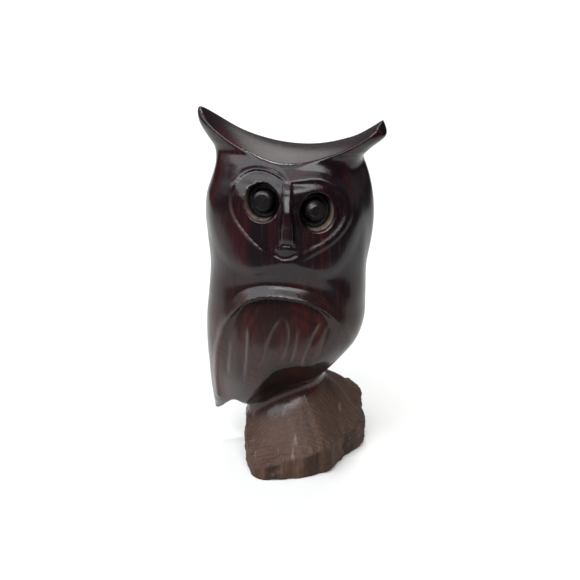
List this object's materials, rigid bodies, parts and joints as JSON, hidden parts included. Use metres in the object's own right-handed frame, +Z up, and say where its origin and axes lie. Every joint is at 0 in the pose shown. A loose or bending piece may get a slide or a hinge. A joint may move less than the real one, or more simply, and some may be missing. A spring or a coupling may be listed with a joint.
{
  "type": "carved owl figurine",
  "caption": "Stylised owl with a heart-shaped face and pointed ears, carved with its rough stump base from one block of dark wood, for standing on a shelf as decoration.",
  "frame": {"origin": "on the surface that the figurine stands on, under the middle of its bounding box", "axes": "+Z up, the owl's face looks towards -Y, +X is the owl's own left"},
  "size_m": [0.0714, 0.0586, 0.1456],
  "materials": {
    "rosewood": "polished varnish on the owl, raw sawn wood on the stump",
    "ebony": "polished"
  },
  "bodies": {
    "root": {"carved_block": "rosewood", "right_eye_peg": "ebony", "left_eye_peg": "ebony"}
  },
  "joints": []
}
